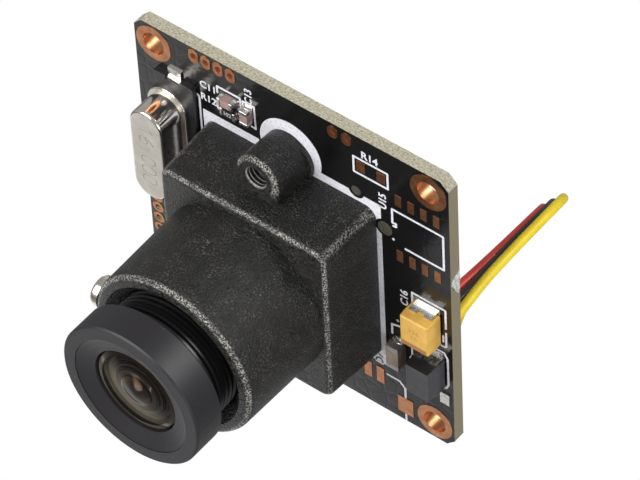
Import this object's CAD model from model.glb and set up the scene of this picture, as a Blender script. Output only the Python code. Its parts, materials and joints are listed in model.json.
"""Looks of the board camera module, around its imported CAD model. Places are in millimetres times MM."""
import json
import math
import random

import bmesh
import bpy
from mathutils import Matrix, Vector, noise


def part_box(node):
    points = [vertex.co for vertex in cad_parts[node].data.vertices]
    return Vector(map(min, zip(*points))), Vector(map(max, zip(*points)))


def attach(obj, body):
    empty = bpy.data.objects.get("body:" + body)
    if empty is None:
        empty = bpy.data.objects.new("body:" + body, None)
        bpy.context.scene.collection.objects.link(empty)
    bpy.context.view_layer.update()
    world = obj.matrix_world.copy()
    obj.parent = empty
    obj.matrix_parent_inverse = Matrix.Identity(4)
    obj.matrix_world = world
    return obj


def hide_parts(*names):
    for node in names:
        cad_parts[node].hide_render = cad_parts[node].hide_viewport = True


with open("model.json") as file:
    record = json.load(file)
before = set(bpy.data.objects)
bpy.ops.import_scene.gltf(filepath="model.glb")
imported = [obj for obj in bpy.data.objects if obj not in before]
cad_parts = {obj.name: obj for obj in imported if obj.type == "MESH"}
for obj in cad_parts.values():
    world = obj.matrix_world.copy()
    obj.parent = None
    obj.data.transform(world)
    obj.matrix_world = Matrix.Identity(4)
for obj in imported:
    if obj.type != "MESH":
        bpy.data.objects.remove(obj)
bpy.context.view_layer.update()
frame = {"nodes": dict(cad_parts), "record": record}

NODES = frame["nodes"]
MM = 0.001

# Places in millimetres: the lens axis, the holder's block, bosses and tube, and the board
LENS_X, LENS_Z = -0.3, -0.7
BLOCK_X, BLOCK_Z = -0.15, -0.45
BLOCK_EDGE_X, BLOCK_EDGE_Z = 8.15, 8.35
BOSS_X = -0.2
BOSS_HEIGHTS = (10.4, -11.8)
BOSS_HOLE_R = 1.12
BOSS_RIM_R = 2.2
RIM_R = 7.4
HOLDER_FRONT = -15.9
BLOCK_FRONT = -6.5
BOSS_FRONT = -4.3
BOARD_HALF = 16.0
LEGEND_T = 0.03
NUMBER_T = 0.008
THREAD_PITCH = 0.4

# Parts along x and z of the direction in which the inside of the lens gets darker
TOWARDS_UPPER_RIGHT = (0.56, 0.83)


# ---------------------------------------------------------------- camera

def make_camera():
    """Camera above, to the right and in front of the board, slightly rolled."""
    azimuth, elevation, roll = (math.radians(a) for a in (40.506, 47.780, -3.221))
    distance, shift_right, shift_up = 384.12, 1.967, -0.45
    back = Vector((math.sin(azimuth) * math.cos(elevation), -math.cos(azimuth) * math.cos(elevation),
                   math.sin(elevation)))
    level = Vector((0, 0, 1)).cross(back).normalized()
    upward = back.cross(level)
    right = math.cos(roll) * level + math.sin(roll) * upward
    up = -math.sin(roll) * level + math.cos(roll) * upward
    data = bpy.data.cameras.new("camera")
    data.sensor_width = 36.0
    data.lens = 263.17
    data.clip_start = 0.01
    data.clip_end = 20.0
    camera = bpy.data.objects.new("camera", data)
    bpy.context.scene.collection.objects.link(camera)
    place = (right * shift_right + up * shift_up + back * distance) * MM
    turn = Matrix((right, up, back)).transposed()
    camera.matrix_world = Matrix.Translation(place) @ turn.to_4x4()
    bpy.context.scene.camera = camera


# ---------------------------------------------------------------- materials

class Look:
    """A node material in the making. Inputs are plain values or sockets of other nodes."""

    def __init__(self, name, **values):
        self.material = bpy.data.materials.new(name)
        self.material.use_nodes = True
        self.tree = self.material.node_tree
        self.surface = self.tree.nodes["Principled BSDF"]
        self.place = self.add("TexCoord").outputs["Object"]
        self.set(self.surface, values)

    def set(self, node, values):
        """Give a node's inputs their values. An underscore in a name stands for a space."""
        for name, value in values.items():
            socket = node.inputs[name if isinstance(name, int) else name.replace("_", " ")]
            if isinstance(value, bpy.types.NodeSocket):
                self.tree.links.new(value, socket)
            else:
                socket.default_value = value
        return node

    def add(self, kind, values=None, **settings):
        """A new node with its settings and the values of its inputs."""
        node = self.tree.nodes.new("ShaderNode" + kind)
        for name, value in settings.items():
            setattr(node, name, value)
        return self.set(node, values or {})

    def math(self, operation, *values):
        """Result of one Math node."""
        return self.add("Math", dict(enumerate(values)), operation=operation).outputs[0]

    def millimetres(self, offset=(0, 0, 0)):
        """The x, y and z of the surface point in millimetres, less an offset."""
        scaled = self.add("VectorMath", {0: self.place, "Scale": 1 / MM}, operation="SCALE")
        moved = self.add("VectorMath", {0: scaled.outputs[0], 1: offset}, operation="SUBTRACT")
        return self.add("SeparateXYZ", {0: moved.outputs[0]}).outputs

    def normal(self):
        """Sizes of the x, y and z parts of the surface normal."""
        parts = self.add("SeparateXYZ", {0: self.add("TexCoord").outputs["Normal"]}).outputs
        return [self.math("ABSOLUTE", part) for part in parts]

    def reach(self, a, b):
        """Distance of the point (a, b) from the middle."""
        return self.math("SQRT", self.math("ADD", self.math("MULTIPLY", a, a), self.math("MULTIPLY", b, b)))

    def from_lens_axis(self):
        """The x, the z and the distance of the surface point from the lens axis, in millimetres."""
        x, _, z = self.millimetres((LENS_X, 0, LENS_Z))
        return x, z, self.reach(x, z)

    def upper_right(self, x, z, radius):
        """How far a point beside the lens axis lies towards the upper right, from -1 to 1."""
        right, up = TOWARDS_UPPER_RIGHT
        across = self.math("ADD", self.math("MULTIPLY", x, right), self.math("MULTIPLY", z, up))
        return self.math("DIVIDE", across, radius)

    def both(self, *shares):
        """Product of shares."""
        result = shares[0]
        for share in shares[1:]:
            result = self.math("MULTIPLY", result, share)
        return result

    def noise(self, size, detail=3.0, stretch=(1, 1, 1), distortion=0.0):
        """Noise whose features are about size millimetres across, longer along an axis by its stretch."""
        scale = tuple(1 / (size * MM * s) for s in stretch)
        mapped = self.add("VectorMath", {0: self.place, 1: scale}, operation="MULTIPLY")
        return self.add("TexNoise", {"Vector": mapped.outputs[0], "Scale": 1.0, "Detail": detail,
                                     "Distortion": distortion}).outputs["Fac"]

    def edge_of_cells(self, size):
        """Distance to the border of irregular cells about size millimetres across."""
        scaled = self.add("VectorMath", {0: self.place, "Scale": 1 / (size * MM)}, operation="SCALE")
        cells = self.add("TexVoronoi", {"Vector": scaled.outputs[0], "Scale": 1.0},
                         feature="DISTANCE_TO_EDGE")
        return cells.outputs[0]

    def step(self, value, low, high):
        """0 below low, 1 above high and smooth between. Low may be the larger one."""
        node = self.add("MapRange", {"Value": value, "From Min": low, "From Max": high},
                        interpolation_type="SMOOTHSTEP")
        return node.outputs[0]

    def ramp(self, value, *stops):
        """Colours or grey levels along a value. Each stop is (position, colour)."""
        node = self.add("ValToRGB", {0: value})
        elements = node.color_ramp.elements
        while len(elements) < len(stops):
            elements.new(0.5)
        for element, (position, colour) in zip(elements, stops):
            element.position = position
            element.color = (*colour, 1) if isinstance(colour, tuple) else (colour, colour, colour, 1)
        return node.outputs[0]

    def mix(self, share, first, second):
        """Colour between the first, at share 0, and the second, at share 1."""
        node = self.add("Mix", data_type="RGBA")
        pair = [(*c, 1) if isinstance(c, tuple) else c for c in (first, second)]
        self.set(node, {0: share, 6: pair[0], 7: pair[1]})
        return node.outputs[2]

    def blend(self, share, first, second):
        """Number between the first, at share 0, and the second, at share 1."""
        node = self.add("Mix", {0: share, 2: first, 3: second}, data_type="FLOAT")
        return node.outputs[0]

    def bump(self, height, depth, normal=None):
        """Bump of depth millimetres."""
        values = {"Height": height, "Distance": depth * MM, "Strength": 1.0}
        if normal is not None:
            values["Normal"] = normal
        return self.add("Bump", values).outputs[0]

    def done(self, **values):
        """The finished material, with the last values of its surface."""
        self.set(self.surface, values)
        return self.material


def solder_mask():
    """Glossy black mask on the faces, fibrous laminate round the outline and copper walls in small holes."""
    look = Look("solder_mask", IOR=1.5)
    edge = look.step(look.normal()[1], 0.6, 0.4)
    cloud = look.noise(4.0, 2.0)
    mask = look.mix(cloud, (0.0035, 0.0035, 0.0040), (0.0075, 0.0072, 0.0080))
    fibres = look.noise(0.10, 3.0, (2.5, 1.0, 2.5))
    patches = look.noise(0.9, 3.0, (1.6, 0.5, 1.6))
    pale = look.mix(patches, (0.40, 0.37, 0.27), (0.60, 0.575, 0.47))
    laminate = look.mix(look.step(fibres, 0.36, 0.60), (0.26, 0.235, 0.155), pale)
    laminate = look.mix(look.step(look.normal()[0], 0.8, 0.95), laminate, (0.235, 0.205, 0.135))
    x, _, z = look.millimetres()
    outermost = look.math("MAXIMUM", look.math("ABSOLUTE", x), look.math("ABSOLUTE", z))
    outline = look.step(outermost, BOARD_HALF - 1.1, BOARD_HALF - 0.9)
    walls = look.mix(outline, (0.38, 0.085, 0.025), laminate)
    tracks = look.step(look.edge_of_cells(1.7), 0.05, 0.11)
    relief = look.bump(tracks, 0.003)
    rough = look.bump(fibres, 0.035, relief)
    sheen = look.ramp(look.noise(1.1, 4.0), (0.3, 0.12), (0.7, 0.20))
    return look.done(Base_Color=look.mix(edge, mask, walls), Roughness=look.blend(edge, sheen, 0.75),
                     Normal=look.add("Mix", {0: edge, 4: relief, 5: rough}, data_type="VECTOR").outputs[1])


def bare_copper():
    """Copper with a little tarnish and fine scratches."""
    look = Look("bare_copper", Metallic=1.0)
    tarnish = look.noise(0.9, 4.0, distortion=0.6)
    colour = look.ramp(tarnish, (0.2, (0.42, 0.16, 0.065)), (0.5, (0.60, 0.265, 0.125)),
                       (0.8, (0.74, 0.38, 0.20)))
    scratches = look.noise(0.12, 2.0, (6, 1, 1))
    roughness = look.ramp(scratches, (0.3, 0.28), (0.7, 0.46))
    return look.done(Base_Color=colour, Roughness=roughness, Normal=look.bump(scratches, 0.003))


def bare_laminate():
    """Woven laminate where the mask leaves it bare."""
    look = Look("bare_laminate")
    weave = look.math("ADD", look.noise(0.3, 2.0, (4, 1, 1)), look.noise(0.3, 2.0, (1, 1, 4)))
    colour = look.ramp(look.math("MULTIPLY", weave, 0.5), (0.35, (0.055, 0.050, 0.036)),
                       (0.65, (0.10, 0.092, 0.068)))
    return look.done(Base_Color=colour, Roughness=0.35, Normal=look.bump(weave, 0.01))


def legend_ink():
    """White ink, a little thin in places."""
    look = Look("legend_ink", Roughness=0.55)
    thin = look.noise(0.25, 4.0)
    colour = look.ramp(thin, (0.25, (0.55, 0.56, 0.60)), (0.5, (0.80, 0.80, 0.85)), (0.8, (0.86, 0.86, 0.90)))
    return look.done(Base_Color=colour, Normal=look.bump(thin, 0.006))


def edge_wear(look):
    """Share of wear on the holder: the tube's rim, the edges of the block's front and the bosses' rims."""
    nx, ny, nz = look.normal()
    turned_away = look.step(look.math("MINIMUM", ny, look.reach(nx, nz)), 0.30, 0.62)
    x, y, z = look.millimetres((LENS_X, 0, LENS_Z))
    radius = look.reach(x, z)
    rim = look.both(turned_away, look.step(y, HOLDER_FRONT + 0.95, HOLDER_FRONT + 0.55),
                    look.step(radius, RIM_R - 0.2, RIM_R))
    bx, by, bz = look.millimetres((BLOCK_X, 0, BLOCK_Z))
    out_x = look.step(look.math("ABSOLUTE", bx), BLOCK_EDGE_X - 0.4, BLOCK_EDGE_X)
    out_z = look.step(look.math("ABSOLUTE", bz), BLOCK_EDGE_Z - 0.4, BLOCK_EDGE_Z)
    on_block = look.step(by, BLOCK_FRONT - 0.1, BLOCK_FRONT)
    ledge = look.both(turned_away, on_block, look.step(by, BLOCK_FRONT + 0.6, BLOCK_FRONT + 0.3),
                      look.math("MAXIMUM", out_x, out_z))
    corner = look.both(out_x, out_z, on_block, look.step(look.math("MINIMUM", nx, nz), 0.2, 0.6))
    wear = look.math("MAXIMUM", rim, look.math("MAXIMUM", ledge, look.math("MULTIPLY", corner, 0.55)))
    for height in BOSS_HEIGHTS:
        cx, cy, cz = look.millimetres((BOSS_X, 0, height))
        reach = look.reach(cx, cz)
        face = look.step(cy, BOSS_FRONT + 0.5, BOSS_FRONT + 0.25)
        outward = look.math("MULTIPLY", cz, math.copysign(1, height))
        upper = look.step(look.math("ADD", outward, look.math("MULTIPLY", cx, 0.4)), -0.7, 0.1)
        rounded = look.both(face, upper, look.step(reach, 1.62, 1.78),
                            look.step(reach, BOSS_RIM_R + 0.15, BOSS_RIM_R))
        wear = look.math("MAXIMUM", wear, rounded)
    return wear


def bare_thread(look):
    """Share of bare metal on the crests of the thread in the bosses' holes."""
    share = None
    for height in BOSS_HEIGHTS:
        cx, cy, cz = look.millimetres((BOSS_X, 0, height))
        crest = look.step(look.math("PINGPONG", cy, THREAD_PITCH / 2), 0.09, 0.15)
        in_hole = look.step(look.reach(cx, cz), BOSS_HOLE_R + 0.04, BOSS_HOLE_R)
        here = look.both(in_hole, look.step(cy, BOSS_FRONT, BOSS_FRONT + 0.2), crest)
        share = here if share is None else look.math("MAXIMUM", share, here)
    return share


def cast_black():
    """Black textured paint on a casting, with sand grain, pale flecks and edges worn to the metal."""
    look = Look("cast_black", Specular_IOR_Level=0.5)
    grain = look.noise(0.20, 3.0)
    flecks = look.step(look.noise(0.13, 2.0), 0.54, 0.66)
    patches = look.step(look.noise(1.6, 3.0), 0.38, 0.66)
    facing = look.step(look.normal()[1], 0.7, 0.95)
    pale = look.mix(facing, (0.009, 0.0086, 0.0080), (0.030, 0.029, 0.027))
    paint = look.mix(look.step(grain, 0.35, 0.65), (0.0015, 0.0015, 0.0014), pale)
    flecked = look.math("MULTIPLY", flecks, look.blend(patches, 0.10, 0.50))
    paint = look.mix(flecked, paint, (0.28, 0.27, 0.24))
    speckle = look.step(look.noise(0.13, 2.0), 0.46, 0.60)
    patchy = look.blend(look.step(look.noise(1.1, 2.0), 0.35, 0.6), 0.45, 1.0)
    worn = look.both(edge_wear(look), speckle, patchy)
    bare = look.math("MAXIMUM", worn, look.math("MULTIPLY", bare_thread(look), 0.8))
    return look.done(Base_Color=look.mix(bare, paint, (0.72, 0.70, 0.64)),
                     Metallic=look.math("MULTIPLY", bare, 0.6),
                     Roughness=look.blend(worn, look.ramp(grain, (0.3, 0.28), (0.7, 0.46)), 0.36),
                     Normal=look.bump(look.math("ADD", grain, look.math("MULTIPLY", flecks, 0.5)), 0.14))


def bright_metal(name, dark, light, roughness, relief=0.002, size=0.6):
    """Plated or plain metal with faint marks from handling."""
    look = Look(name, Metallic=1.0)
    marks = look.noise(size, 4.0, distortion=0.4)
    low, high = roughness
    return look.done(Base_Color=look.ramp(marks, (0.3, dark), (0.7, light)),
                     Roughness=look.ramp(marks, (0.3, low), (0.7, high)), Normal=look.bump(marks, relief))


def nickel_can():
    """Drawn nickel can: satin front with fine graining and mirror-like sides."""
    look = Look("nickel_can", Metallic=1.0)
    front = look.step(look.normal()[1], 0.9, 0.98)
    grain = look.noise(0.14, 3.0, (1, 1, 5))
    colour = look.ramp(look.noise(1.3, 3.0), (0.3, (0.70, 0.655, 0.58)), (0.7, (0.84, 0.80, 0.73)))
    satin = look.ramp(grain, (0.3, 0.40), (0.7, 0.55))
    return look.done(Base_Color=colour, Roughness=look.blend(front, 0.13, satin),
                     Normal=look.bump(grain, 0.0025))


def moulded(name, dark, light, roughness=(0.4, 0.55)):
    """Moulded plastic, rubber or ceramic with a fine surface."""
    look = Look(name)
    skin = look.noise(0.2, 4.0)
    tint = look.noise(1.4, 2.0)
    low, high = roughness
    return look.done(Base_Color=look.ramp(tint, (0.3, dark), (0.7, light)),
                     Roughness=look.ramp(skin, (0.3, low), (0.7, high)), Normal=look.bump(skin, 0.006))


def tantalum_epoxy():
    """Yellow epoxy with the brown polarity band along the lower end of its front."""
    look = Look("tantalum_yellow")
    z = look.millimetres()[2]
    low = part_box("tantalum_body")[0].z / MM
    uneven = look.math("ADD", z, look.math("MULTIPLY", look.noise(0.2), 0.06))
    band = look.both(look.step(uneven, low + 0.72, low + 0.64), look.step(look.normal()[1], 0.7, 0.9))
    cloud = look.noise(0.8, 3.0)
    yellow = look.ramp(cloud, (0.3, (0.73, 0.41, 0.070)), (0.7, (0.83, 0.50, 0.105)))
    skin = look.noise(0.1, 3.0)
    return look.done(Base_Color=look.mix(band, yellow, (0.42, 0.17, 0.04)),
                     Roughness=look.ramp(skin, (0.3, 0.36), (0.7, 0.5)), Normal=look.bump(skin, 0.006))


def diode_black():
    """Black moulded case whose upright faces are greyer than its top."""
    look = Look("diode_black")
    skin = look.noise(0.15, 4.0)
    upright = look.step(look.normal()[2], 0.8, 0.5)
    grey = look.ramp(look.noise(1.2, 2.0), (0.3, (0.040, 0.038, 0.042)), (0.7, (0.058, 0.056, 0.062)))
    return look.done(Base_Color=look.mix(upright, (0.006, 0.006, 0.007), grey),
                     Roughness=look.ramp(skin, (0.3, 0.42), (0.7, 0.6)), Normal=look.bump(skin, 0.006))


def lens_black():
    """Black anodised turned metal with faint turning marks and dust, and darker on the thread and inside."""
    look = Look("lens_black", IOR=1.5)
    x, y, z = look.millimetres((LENS_X, 0, LENS_Z))
    radius = look.reach(x, z)
    profile = look.add("CombineXYZ", {0: radius, 1: y}).outputs[0]
    lathe = look.add("TexNoise", {"Vector": profile, "Scale": 14.0, "Detail": 3.0}).outputs["Fac"]
    dust = look.step(look.noise(0.15, 1.0), 0.76, 0.79)
    deep = look.both(look.step(radius, 6.05, 5.95), look.step(y, -20.2, -19.0))
    colour = look.mix(look.noise(2.5, 2.0), (0.0120, 0.0106, 0.0132), (0.0170, 0.0150, 0.0178))
    colour = look.mix(look.math("MULTIPLY", dust, 0.4), colour, (0.3, 0.3, 0.3))
    return look.done(Base_Color=look.mix(deep, colour, (0.004, 0.004, 0.004)),
                     Roughness=look.blend(deep, look.ramp(lathe, (0.3, 0.42), (0.7, 0.5)), 0.30),
                     Normal=look.bump(lathe, 0.0015))


def khaki(look, radius, x, z):
    """Colour inside the lens: khaki towards the lower left and brown in the upper right."""
    share = look.step(look.upper_right(x, z, radius), 0.35, -0.9)
    cloud = look.noise(1.2, 2.0)
    lit = look.mix(cloud, (0.135, 0.113, 0.080), (0.170, 0.146, 0.110))
    return look.mix(share, (0.007, 0.0045, 0.0035), lit)


def funnel(name, rings):
    """Stepped inside of the lens, with a dark line at each of the rings."""
    look = Look(name, Specular_IOR_Level=0.25)
    x, z, radius = look.from_lens_axis()
    colour = khaki(look, radius, x, z)
    lines = None
    for ring, width in rings:
        near = look.step(look.math("ABSOLUTE", look.math("SUBTRACT", radius, ring)), width, width * 0.3)
        lines = near if lines is None else look.math("MAXIMUM", lines, near)
    inner = look.step(radius, 2.3, 2.1)
    colour = look.mix(look.math("MULTIPLY", inner, 0.5), colour, (0.022, 0.016, 0.013))
    colour = look.mix(look.math("MULTIPLY", lines, 0.8), colour, (0.013, 0.009, 0.007))
    ripple = look.noise(0.3, 2.0)
    return look.done(Base_Color=colour, Roughness=look.ramp(ripple, (0.3, 0.45), (0.7, 0.55)),
                     Normal=look.bump(ripple, 0.003))


def inner_glass():
    """The small second glass: nearly black brown, with a bright ground rim."""
    look = Look("inner_glass", IOR=1.6, Specular_IOR_Level=0.2)
    x, z, radius = look.from_lens_axis()
    across = look.upper_right(x, z, radius)
    share = look.step(across, -0.2, -0.8)
    rim = look.both(look.step(radius, 1.40, 1.47), share)
    body = look.mix(look.step(radius, 0.3, 1.5), (0.010, 0.006, 0.004), (0.050, 0.034, 0.018))
    body = look.mix(look.step(across, 0.2, 0.9), body, (0.010, 0.006, 0.006))
    smear = look.noise(0.5, 2.0)
    return look.done(Base_Color=look.mix(rim, body, (0.85, 0.80, 0.72)),
                     Roughness=look.ramp(smear, (0.3, 0.08), (0.7, 0.14)))


def coated_glass(name, tint, opacity):
    """Coated glass that is mostly seen through, and less so at a glancing angle."""
    look = Look(name, IOR=1.7, Coat_Weight=1.0, Coat_IOR=1.6, Coat_Roughness=0.01)
    face_on, glancing = opacity
    smear = look.noise(1.5, 2.0)
    angle = look.add("LayerWeight", {"Blend": 0.35}).outputs["Facing"]
    see = look.blend(angle, face_on, glancing)
    look.set(look.surface, {"Specular Tint": (0.9, 0.85, 0.8, 1)})
    return look.done(Base_Color=look.mix(smear, tint, tuple(0.8 * c for c in tint)), Alpha=see,
                     Roughness=look.ramp(smear, (0.3, 0.01), (0.7, 0.03)))


def front_glass():
    """Front glass: clear in the middle, khaki where its edge bends the light and dark round the neck."""
    look = Look("front_glass", IOR=1.6, Specular_IOR_Level=0.35)
    x, z, radius = look.from_lens_axis()
    bevel = look.step(radius, 4.03, 4.08)
    edge = look.step(radius, 3.35, 3.7)
    smear = look.noise(1.5, 2.0)
    look.set(look.surface, {"Specular Tint": (1.0, 0.78, 0.55, 1)})
    colour = look.mix(bevel, khaki(look, radius, x, z), (0.012, 0.013, 0.010))
    return look.done(Base_Color=colour, Alpha=look.blend(edge, 0.08, 0.97),
                     Roughness=look.ramp(smear, (0.3, 0.004), (0.7, 0.012)))


def insulation(name, dark, light):
    """Soft wire insulation with a faint drawing grain along the wire."""
    look = Look(name, IOR=1.5)
    grain = look.noise(0.16, 3.0, (1, 9, 1))
    return look.done(Base_Color=look.ramp(look.noise(2.0, 2.0), (0.3, dark), (0.7, light)),
                     Roughness=look.ramp(grain, (0.3, 0.34), (0.7, 0.5)), Normal=look.bump(grain, 0.006))


def glue():
    """Dried whitish glue with a crumbly skin."""
    look = Look("dried_glue", IOR=1.45)
    crumb = look.noise(0.2, 5.0)
    return look.done(Base_Color=look.ramp(crumb, (0.3, (0.34, 0.35, 0.33)), (0.7, (0.80, 0.81, 0.79))),
                     Roughness=look.ramp(crumb, (0.3, 0.3), (0.7, 0.6)), Normal=look.bump(crumb, 0.03))


def make_materials():
    """One material for each of the record's slots, and a few for pieces that differ within a slot."""
    return {
        "solder_mask": solder_mask(),
        "bare_copper": bare_copper(),
        "bare_laminate": bare_laminate(),
        "legend_ink": legend_ink(),
        "cast_black": cast_black(),
        "steel_screw": bright_metal("steel_screw", (0.42, 0.42, 0.42), (0.56, 0.56, 0.56), (0.22, 0.34)),
        "filter_glass": coated_glass("filter_glass", (0.30, 0.55, 0.60), (0.3, 0.8)),
        "package_black": moulded("package_black", (0.018, 0.018, 0.020), (0.032, 0.032, 0.035), (0.42, 0.6)),
        "sensor_silicon": bright_metal("sensor_silicon", (0.10, 0.13, 0.20), (0.16, 0.20, 0.27), (0.1, 0.2)),
        "gasket_rubber": moulded("gasket_rubber", (0.010, 0.010, 0.010), (0.022, 0.022, 0.022), (0.6, 0.8)),
        "lens_black": lens_black(),
        "lens_glass": coated_glass("lens_glass", (0.10, 0.095, 0.05), (0.16, 0.5)),
        "lock_screw_steel": bright_metal("lock_screw_steel", (0.62, 0.58, 0.50), (0.80, 0.77, 0.70),
                                         (0.14, 0.28)),
        "crystal_base_plastic": moulded("crystal_base_plastic", (0.012, 0.012, 0.014), (0.028, 0.028, 0.032),
                                        (0.3, 0.45)),
        "nickel_can": nickel_can(),
        "tinned": bright_metal("tinned", (0.60, 0.58, 0.54), (0.86, 0.85, 0.82), (0.16, 0.36), 0.012, 0.25),
        "ceramic_pink": moulded("ceramic_pink", (0.30, 0.19, 0.165), (0.44, 0.30, 0.27), (0.3, 0.45)),
        "ceramic_brown": moulded("ceramic_brown", (0.16, 0.11, 0.075), (0.30, 0.22, 0.155), (0.25, 0.4)),
        "tantalum_yellow": tantalum_epoxy(),
        "resistor_black": moulded("resistor_black", (0.012, 0.012, 0.014), (0.03, 0.03, 0.032), (0.15, 0.3)),
        "connector_white": moulded("connector_white", (0.66, 0.64, 0.57), (0.76, 0.74, 0.68), (0.35, 0.5)),
        "wire_red_pvc": insulation("wire_red_pvc", (0.62, 0.035, 0.022), (0.74, 0.055, 0.035)),
        "wire_black_pvc": insulation("wire_black_pvc", (0.020, 0.017, 0.015), (0.036, 0.031, 0.028)),
        "wire_yellow_pvc": insulation("wire_yellow_pvc", (0.84, 0.62, 0.008), (0.93, 0.72, 0.02)),
    }


def dress(node, material):
    """Put one material on a CAD node."""
    mesh = node.data
    mesh.materials.clear()
    mesh.materials.append(material)


# Radius and width of each dark ring inside the lens
FUNNEL_RINGS = ((2.22, 0.08), (2.6, 0.05), (2.95, 0.07), (3.3, 0.05))


def dress_nodes(looks):
    """Give every CAD node the material of its slot, and the few that differ their own."""
    for part in frame["record"]["subparts"]:
        dress(NODES[part["node"]], looks[part["material_slot"]])
    dress(NODES["stepped_baffle"], funnel("funnel_khaki", FUNNEL_RINGS))
    dress(NODES["front_element"], front_glass())
    dull = bright_metal("dull_terminal", (0.34, 0.31, 0.28), (0.52, 0.48, 0.43), (0.40, 0.55), 0.01, 0.3)
    dress(NODES["large_capacitor_ends"], dull)
    dress(NODES["second_element"], inner_glass())
    dress(NODES["diode_body"], diode_black())
    dress(NODES["aperture_stop"], moulded("stop_black", (0.004, 0.004, 0.004), (0.008, 0.008, 0.008)))


# ---------------------------------------------------------------- pieces

def link(name, data, body, material):
    """New piece that rides on a body and belongs to one of the record's material slots."""
    piece = bpy.data.objects.new(name, data)
    bpy.context.scene.collection.objects.link(piece)
    data.materials.clear()
    data.materials.append(material)
    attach(piece, body)
    return piece


WIRE_R = 0.44
PLUG_BACK, PLUG_Z = 3.6, -7.0

# Points of each wire, in millimetres: straight back from the plug, then drooping behind the board
ROUTES = {
    "red": [(10.05, PLUG_BACK, PLUG_Z), (10.35, 8.4, -7.2), (10.45, 14.0, -7.45), (10.5, 19.9, -7.6),
            (5.95, 26.1, -16.0), (-4.0, 32.7, -34.2), (-13.5, 36.1, -51.5), (-22.7, 41.0, -63.9)],
    "black": [(11.3, PLUG_BACK, PLUG_Z), (11.35, 8.6, -7.0), (11.2, 14.1, -6.95), (11.2, 20.4, -6.95),
              (6.4, 26.95, -15.8), (-3.65, 33.6, -34.2), (-13.1, 37.0, -51.5), (-20.1, 41.9, -65.0)],
    "yellow": [(12.55, PLUG_BACK, PLUG_Z), (12.05, 8.2, -6.45), (11.9, 14.3, -6.35), (11.9, 20.9, -6.3),
               (6.85, 27.8, -15.6), (-3.25, 34.5, -34.15), (-12.7, 37.9, -51.45), (-17.7, 42.7, -66.0)],
}


def nurbs_curve(name, routes, radius):
    """Round tubes along smooth NURBS splines, one for each route."""
    curve = bpy.data.curves.new(name, "CURVE")
    curve.dimensions = "3D"
    curve.bevel_depth = radius
    curve.bevel_resolution = 5
    curve.resolution_u = 24
    curve.use_fill_caps = True
    for points in routes:
        spline = curve.splines.new("NURBS")
        spline.points.add(len(points) - 1)
        for place, point in zip(spline.points, points):
            place.co = (*point, 1)
        spline.order_u = 3
        spline.use_endpoint_u = True
    return curve


def tinned_strands(name, start, direction, material):
    """Stripped end of a wire: seven tinned strands twisted together."""
    along = direction.normalized()
    side = along.orthogonal().normalized()
    other = along.cross(side)
    length, strand_r, lay_r, turns, steps = 3.0 * MM, 0.08 * MM, 0.16 * MM, 1.4, 16
    middle = start + 0.5 * length * along + 0.01 * MM * side
    routes = [[start, middle, start + length * along]]
    for number in range(6):
        points = []
        for index in range(steps + 1):
            share = index / steps
            angle = math.tau * (number / 6 + turns * share)
            radius = lay_r * (1.0 - 0.12 * share)
            points.append(start + share * length * along
                          + radius * (math.cos(angle) * side + math.sin(angle) * other))
        routes.append(points)
    return link(name, nurbs_curve(name, routes, strand_r), "camera_board", material)


def make_wires(looks):
    """Three leads along the routes of the CAD wires, each with its stripped end."""
    for colour, route in ROUTES.items():
        points = [Vector(point) * MM for point in route]
        slot = "wire_%s_pvc" % colour
        name = "lead_" + colour
        lead = link(name, nurbs_curve(name, [points], WIRE_R * MM), "camera_board", looks[slot])
        strands = tinned_strands("strands_" + colour, points[-1], points[-1] - points[-2], looks["tinned"])
        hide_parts("wire_" + colour)
        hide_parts("wire_tips")


def text_mesh(name, text, height, thickness):
    """Flat lettering whose origin is its middle, as a mesh in its own X and Y."""
    curve = bpy.data.curves.new(name, "FONT")
    curve.body = text
    curve.size = height / 0.69
    curve.align_x = "CENTER"
    curve.align_y = "CENTER"
    curve.extrude = thickness / 2
    curve.offset = 0.03 * height
    curve.resolution_u = 3
    holder = bpy.data.objects.new(name, curve)
    bpy.context.scene.collection.objects.link(holder)
    bpy.context.view_layer.update()
    mesh = bpy.data.meshes.new_from_object(holder.evaluated_get(bpy.context.evaluated_depsgraph_get()))
    bpy.data.objects.remove(holder)
    return mesh


def marking(name, text, place, height, turn, material, thickness, wide=1.0):
    """Lettering on a face that looks along -Y. Place is its middle and turn its angle, counterclockwise."""
    mesh = text_mesh(name, text, height * MM, thickness * MM)
    upright = Matrix(((1, 0, 0), (0, 0, -1), (0, 1, 0))).to_4x4()
    spin = Matrix.Rotation(math.radians(turn), 4, "Z")
    stretch = Matrix.Diagonal((wide, 1, 1, 1))
    mesh.transform(Matrix.Translation(Vector(place) * MM) @ upright @ spin @ stretch)
    mesh.name = name
    return link(name, mesh, "camera_board", material)


# Strokes of thin digits, as points across and up, in parts of the digit's height
STROKES = {
    "0": [(0.3, 0), (0.52, 0.02), (0.62, 0.5), (0.52, 0.98), (0.3, 1), (0.08, 0.98), (-0.02, 0.5),
          (0.08, 0.02), (0.3, 0)],
    "1": [(0.1, 0.78), (0.3, 1), (0.31, 0.98), (0.3, 0)],
    "6": [(0.52, 1), (0.2, 0.75), (0, 0.35), (0.08, 0), (0.32, -0.02), (0.58, 0.05), (0.58, 0.5),
          (0.3, 0.6), (0.05, 0.35)],
    ".": [(0.28, 0.02), (0.30, 0.05), (0.32, 0.02)],
}


def etched_number(name, text, place, height, pitch, material):
    """Thin number on the front of the can, read downwards, whose middle is place."""
    x, y, z = place
    stroke_r = 0.05
    start = z + pitch * (len(text) - 1) / 2 + 0.3 * height
    routes = []
    for index, character in enumerate(text):
        top = start - pitch * index
        points = [(x + height * (up - 0.5), y, top - height * across) for across, up in STROKES[character]]
        routes.append([Vector(point) * MM for point in points])
    link(name, nurbs_curve(name, routes, stroke_r * MM), "camera_board", material)


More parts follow.
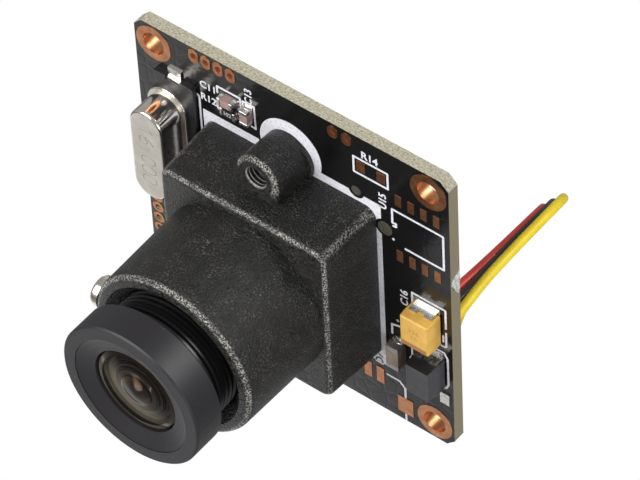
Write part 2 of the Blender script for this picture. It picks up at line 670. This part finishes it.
def make_markings(looks):
    """Plain designators beside the parts, and plain numbers on the can, the resistor and the tantalum."""
    ink = looks["legend_ink"]
    front = -LEGEND_T / 2
    labels = [("C11", -8.42, 12.27, 0.72, 0), ("R12", -8.47, 10.84, 0.72, 0), ("C13", -4.15, 13.75, 0.72, 90),
              ("R14", 8.15, 14.18, 0.74, 0), ("U15", 9.36, 10.05, 0.72, 90), ("C16", 11.22, -0.35, 0.74, 90),
              ("D7", 8.38, -9.75, 0.78, 90), ("+", 10.43, -3.72, 0.42, 0)]
    for number, (text, x, z, height, turn) in enumerate(labels):
        marking("designator_%d" % number, text, (x, front, z), height, turn, ink, LEGEND_T)
    etched = bright_metal("etched_mark", (0.34, 0.30, 0.25), (0.46, 0.42, 0.36), (0.45, 0.6))
    can_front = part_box("crystal_can")[0].y / MM
    etched_number("can_number", "16.000", (-12.42, can_front + 0.035, 4.75), 1.45, 1.15, etched)
    burnt = moulded("burnt_mark", (0.52, 0.28, 0.045), (0.62, 0.34, 0.06))
    case_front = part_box("tantalum_body")[0].y / MM
    for row, text in enumerate(("226", "16")):
        place = (13.5, case_front, -1.35 - 0.72 * row)
        marking("case_number_%d" % row, text, place, 0.42, 0, burnt, NUMBER_T, 1.3)
    pale = moulded("resistor_number", (0.45, 0.45, 0.45), (0.6, 0.6, 0.6))
    film_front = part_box("chip_resistor_body")[0].y / MM
    marking("resistor_value", "102", (-6.2, film_front, 10.78), 0.4, 0, pale, NUMBER_T)


def solder_fillet(x, z, toward, width, rise, reach):
    """Vertices and faces of one concave solder fillet on the board's front.

    It stands against a part's end at (x, z) and runs out along toward, a unit vector in X and Z.
    """
    steps, across = 6, 5
    along = Vector((toward[0], 0, toward[1]))
    side = Vector((-toward[1], 0, toward[0]))
    start = Vector((x, 0, z))
    points, faces = [], []
    for column in range(across + 1):
        share = column / across
        edge = 1 - 0.35 * abs(2 * share - 1) ** 3
        for row in range(steps + 1):
            turn = math.pi / 2 * row / steps
            out = reach * (1 - math.cos(turn)) * edge
            up = rise * (1 - math.sin(turn)) * edge
            points.append(start + along * out + side * width * (share - 0.5) + Vector((0, -up, 0)))
        points.append(start + side * width * (share - 0.5))
    row_size = steps + 2
    for column in range(across):
        for row in range(row_size):
            a = column * row_size + row
            b = column * row_size + (row + 1) % row_size
            faces.append((a, b, b + row_size, a + row_size))
    faces.append(tuple(range(row_size)))
    last = across * row_size
    faces.append(tuple(reversed(range(last, last + row_size))))
    return points, faces


def make_solder(looks):
    """Fillets at the ends of the chip parts, which lie along X or stand along Z."""
    ends = []
    for x, z in ((-6.96, 12.25), (-5.34, 12.25)):
        ends.append((x, z, (math.copysign(1, x + 6.15), 0), 0.80, 0.42, 0.28))
    for z in (12.56, 10.94):
        ends.append((-4.23, z, (0, math.copysign(1, z - 11.75)), 0.80, 0.42, 0.26))
    for x in (-7.01, -5.39):
        ends.append((x, 10.78, (math.copysign(1, x + 6.2), 0), 0.78, 0.3, 0.2))
    for z in (-5.97, -8.63):
        ends.append((10.52, z, (0, math.copysign(1, z + 7.3)), 1.2, 0.5, 0.3))
    vertices, faces = [], []
    for end in ends:
        points, quads = solder_fillet(*end)
        offset = len(vertices)
        vertices += [p * MM for p in points]
        faces += [tuple(index + offset for index in quad) for quad in quads]
    mesh = bpy.data.meshes.new("solder_fillets")
    mesh.from_pydata(vertices, [], faces)
    work = bmesh.new()
    work.from_mesh(mesh)
    bmesh.ops.recalc_face_normals(work, faces=work.faces)
    work.to_mesh(mesh)
    work.free()
    for polygon in mesh.polygons:
        polygon.use_smooth = True
    link("solder_fillets", mesh, "camera_board", looks["tinned"])


def make_glue():
    """Flake of dried glue on the right edge of the board."""
    outline = [(0.06, 4.2), (0.25, 4.75), (0.7, 4.95), (1.1, 5.15), (1.14, 4.2), (1.1, 3.3), (0.98, 2.55),
               (0.74, 2.9), (0.5, 3.35), (0.62, 3.9), (0.3, 3.75)]
    random.seed(4)
    work = bmesh.new()
    face = work.faces.new([work.verts.new((16.0 * MM, y * MM, z * MM)) for y, z in outline])
    bmesh.ops.triangulate(work, faces=[face])
    bmesh.ops.subdivide_edges(work, edges=work.edges[:], cuts=5, use_grid_fill=True)
    rim = {vert for edge in work.edges if edge.is_boundary for vert in edge.verts}
    for vert in work.verts:
        bulge = noise.noise(vert.co / (0.5 * MM)) + 0.55
        vert.co.x += 0.004 * MM if vert in rim else max(0.02, 0.16 * bulge) * MM
        vert.co.y += random.uniform(-0.02, 0.02) * MM
        vert.co.z += random.uniform(-0.03, 0.03) * MM
    mesh = bpy.data.meshes.new("glue_flake")
    work.to_mesh(mesh)
    work.free()
    link("glue_flake", mesh, "camera_board", glue())


# ---------------------------------------------------------------- studio

def area_light(name, place, aim, size, power, colour=(1, 1, 1), only_glass=None):
    """Rectangular light that the camera doesn't see. With only_glass it shows in that glass alone."""
    data = bpy.data.lights.new(name, "AREA")
    data.shape = "RECTANGLE"
    data.size, data.size_y = size
    data.energy = power
    data.color = colour
    light = bpy.data.objects.new(name, data)
    bpy.context.scene.collection.objects.link(light)
    light.location = place
    light.rotation_euler = (Vector(aim) - Vector(place)).to_track_quat("-Z", "Y").to_euler()
    light.visible_camera = False
    if only_glass:
        light.visible_diffuse = False
        light.light_linking.receiver_collection = only_glass


FLOOR_SIDE = 8.0
FLOOR_Z = -0.5
FLOOR_GREY = 0.45
SKY_LIGHT = 0.40


def pale_floor():
    """Wide pale floor that the camera sees as white and that lights the object softly from below."""
    bpy.ops.mesh.primitive_plane_add(size=FLOOR_SIDE, location=(0, 0, FLOOR_Z))
    floor = bpy.context.object
    floor.name = "floor"
    pale = bpy.data.materials.new("floor")
    pale.use_nodes = True
    tree = pale.node_tree
    surface = tree.nodes["Principled BSDF"]
    surface.inputs["Base Color"].default_value = (FLOOR_GREY, FLOOR_GREY, FLOOR_GREY, 1)
    surface.inputs["Roughness"].default_value = 0.9
    glow = tree.nodes.new("ShaderNodeEmission")
    seen = tree.nodes.new("ShaderNodeLightPath")
    choice = tree.nodes.new("ShaderNodeMixShader")
    tree.links.new(seen.outputs["Is Camera Ray"], choice.inputs[0])
    tree.links.new(surface.outputs[0], choice.inputs[1])
    tree.links.new(glow.outputs[0], choice.inputs[2])
    tree.links.new(choice.outputs[0], tree.nodes["Material Output"].inputs["Surface"])
    floor.data.materials.append(pale)


def white_surroundings():
    """White to the camera, and dimmer as light on the object."""
    world = bpy.data.worlds.new("studio")
    bpy.context.scene.world = world
    world.use_nodes = True
    tree = world.node_tree
    background = tree.nodes["Background"]
    seen = tree.nodes.new("ShaderNodeLightPath")
    strength = tree.nodes.new("ShaderNodeMapRange")
    tree.links.new(seen.outputs["Is Camera Ray"], strength.inputs["Value"])
    strength.inputs["To Min"].default_value = SKY_LIGHT
    strength.inputs["To Max"].default_value = 1.0
    tree.links.new(strength.outputs[0], background.inputs["Strength"])
    background.inputs["Color"].default_value = (1, 1, 1, 1)


def soft_boxes():
    """Key from behind on the right, fill from the front left, a side box, and a low panel for the mask."""
    here = (0, 0, 0)
    area_light("key", (0.354, 0.306, 0.372), here, (0.25, 0.25), 1.6)
    area_light("fill", (-0.245, -0.525, 0.385), here, (0.6, 0.6), 5.0)
    area_light("side", (0.55, -0.30, 0.05), here, (0.4, 0.4), 1.7)
    area_light("low_panel", (-0.142, -0.041, -0.225), (-0.01, 0, -0.01), (0.2, 0.2), 0.09)


def glass_panes():
    """Small warm panes that show in the front glass alone."""
    glass = bpy.data.collections.new("front_glass_only")
    glass.objects.link(NODES["front_element"])
    pane = (1.0, 0.82, 0.62)
    front = (0, -0.02, 0)
    area_light("pane_high", (-0.200, -0.410, -0.238), front, (0.040, 0.040), 0.15, pane, glass)
    area_light("pane_low", (-0.185, -0.375, -0.300), front, (0.036, 0.055), 0.19, pane, glass)
    area_light("pane_side", (-0.102, -0.428, -0.270), front, (0.018, 0.045), 0.085, pane, glass)


def make_studio():
    """White surroundings, the lights, the floor and a plain view transform."""
    white_surroundings()
    soft_boxes()
    glass_panes()
    pale_floor()
    bpy.context.scene.view_settings.view_transform = "Standard"


make_camera()
LOOKS = make_materials()
make_wires(LOOKS)
dress_nodes(LOOKS)
make_markings(LOOKS)
make_solder(LOOKS)
make_glue()
make_studio()
